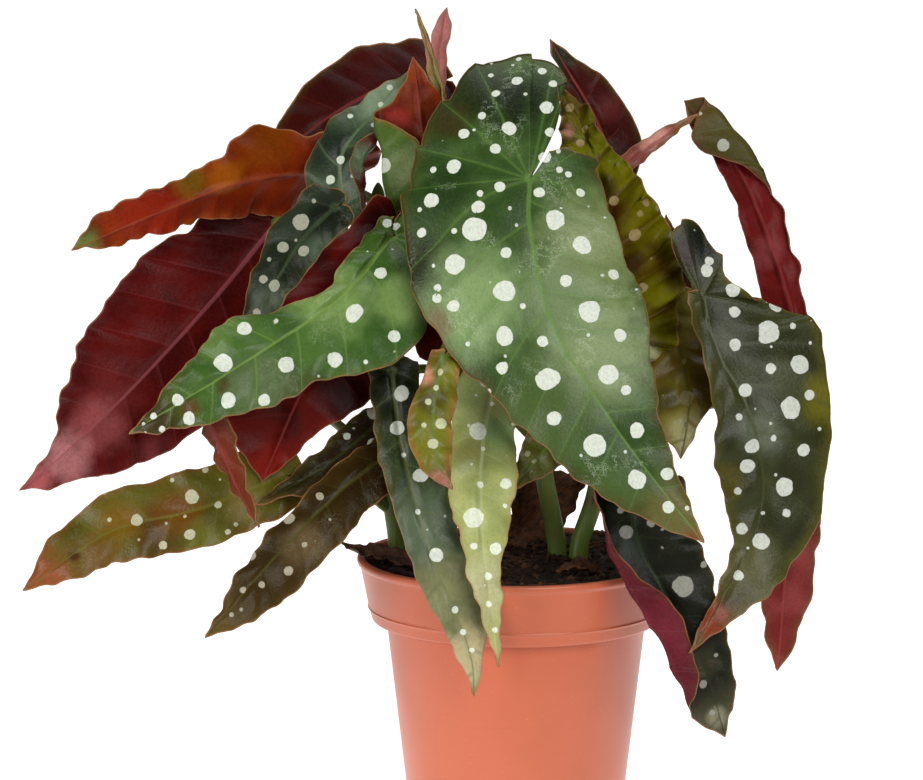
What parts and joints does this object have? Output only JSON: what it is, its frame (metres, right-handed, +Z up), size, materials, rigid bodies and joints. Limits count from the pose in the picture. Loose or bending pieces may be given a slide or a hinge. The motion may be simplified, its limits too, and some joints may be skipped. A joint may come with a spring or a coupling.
{
  "type": "potted polka dot begonia",
  "caption": "Polka dot begonia with long hanging leaves, silver spots on top and red undersides, on green canes in a round nursery pot.",
  "frame": {"origin": "centre of the flat pot base, on the surface that the pot stands on", "axes": "+Z up along the pot axis, +X to the viewer's right in the picture, +Y away from the viewer"},
  "size_m": [0.3022, 0.1524, 0.3122],
  "materials": {
    "pot_plastic": "satin terracotta-coloured plastic",
    "soil": "matt dark peat",
    "stem": "satin green stem",
    "dry_leaf": "matt brown dry leaf",
    "leaf_back_top_dark_red": "satin leaf, underside red",
    "leaf_bottom_right_dark": "satin leaf, underside red",
    "leaf_centre_curly": "satin leaf, underside red",
    "leaf_centre_dark_hanging": "satin leaf, underside red",
    "leaf_centre_light": "satin leaf, underside red",
    "leaf_centre_orange": "satin leaf, underside red",
    "leaf_dark_red_mid": "satin leaf, underside red",
    "leaf_front_large": "satin leaf, underside red",
    "leaf_front_left": "satin leaf, underside red",
    "leaf_left_orange": "satin leaf, underside red",
    "leaf_left_red_large": "satin leaf, underside red",
    "leaf_lower_left_back": "satin leaf, underside red",
    "leaf_lower_left_dark": "satin leaf, underside red",
    "leaf_lower_left_olive": "satin leaf, underside red",
    "leaf_mid_left_dark": "satin leaf, underside red",
    "leaf_mid_red_behind": "satin leaf, underside red",
    "leaf_narrow_red": "satin leaf, underside red",
    "leaf_right_back_rolled": "satin leaf, underside red",
    "leaf_right_large_dark": "satin leaf, underside red",
    "leaf_right_olive_lower": "satin leaf, underside red",
    "leaf_right_red_tip": "satin leaf, underside red",
    "leaf_right_wavy": "satin leaf, underside red",
    "leaf_small_green_behind": "satin leaf, underside red",
    "leaf_top_pink": "satin leaf, underside red",
    "leaf_top_red_left": "satin leaf, underside red",
    "leaf_top_spike": "satin leaf, underside red",
    "leaf_upper_left_green": "satin leaf, underside red",
    "leaf_young_pointed": "satin leaf, underside red"
  },
  "bodies": {
    "root": {"cane_back": "stem", "cane_centre": "stem", "cane_left": "stem", "cane_right": "stem", "dry_scrap_back": "dry_leaf", "dry_scrap_left": "dry_leaf", "dry_scrap_right": "dry_leaf", "leaf_back_top_dark_red": "leaf_back_top_dark_red", "leaf_bottom_right_dark": "leaf_bottom_right_dark", "leaf_centre_curly": "leaf_centre_curly", "leaf_centre_dark_hanging": "leaf_centre_dark_hanging", "leaf_centre_light": "leaf_centre_light", "leaf_centre_orange": "leaf_centre_orange", "leaf_dark_red_mid": "leaf_dark_red_mid", "leaf_front_large": "leaf_front_large", "leaf_front_left": "leaf_front_left", "leaf_left_orange": "leaf_left_orange", "leaf_left_red_large": "leaf_left_red_large", "leaf_lower_left_back": "leaf_lower_left_back", "leaf_lower_left_dark": "leaf_lower_left_dark", "leaf_lower_left_olive": "leaf_lower_left_olive", "leaf_mid_left_dark": "leaf_mid_left_dark", "leaf_mid_red_behind": "leaf_mid_red_behind", "leaf_narrow_red": "leaf_narrow_red", "leaf_right_back_rolled": "leaf_right_back_rolled", "leaf_right_large_dark": "leaf_right_large_dark", "leaf_right_olive_lower": "leaf_right_olive_lower", "leaf_right_red_tip": "leaf_right_red_tip", "leaf_right_wavy": "leaf_right_wavy", "leaf_small_green_behind": "leaf_small_green_behind", "leaf_top_pink": "leaf_top_pink", "leaf_top_red_left": "leaf_top_red_left", "leaf_top_spike": "leaf_top_spike", "leaf_upper_left_green": "leaf_upper_left_green", "leaf_young_pointed": "leaf_young_pointed", "pot": "pot_plastic", "soil": "soil"}
  },
  "joints": []
}
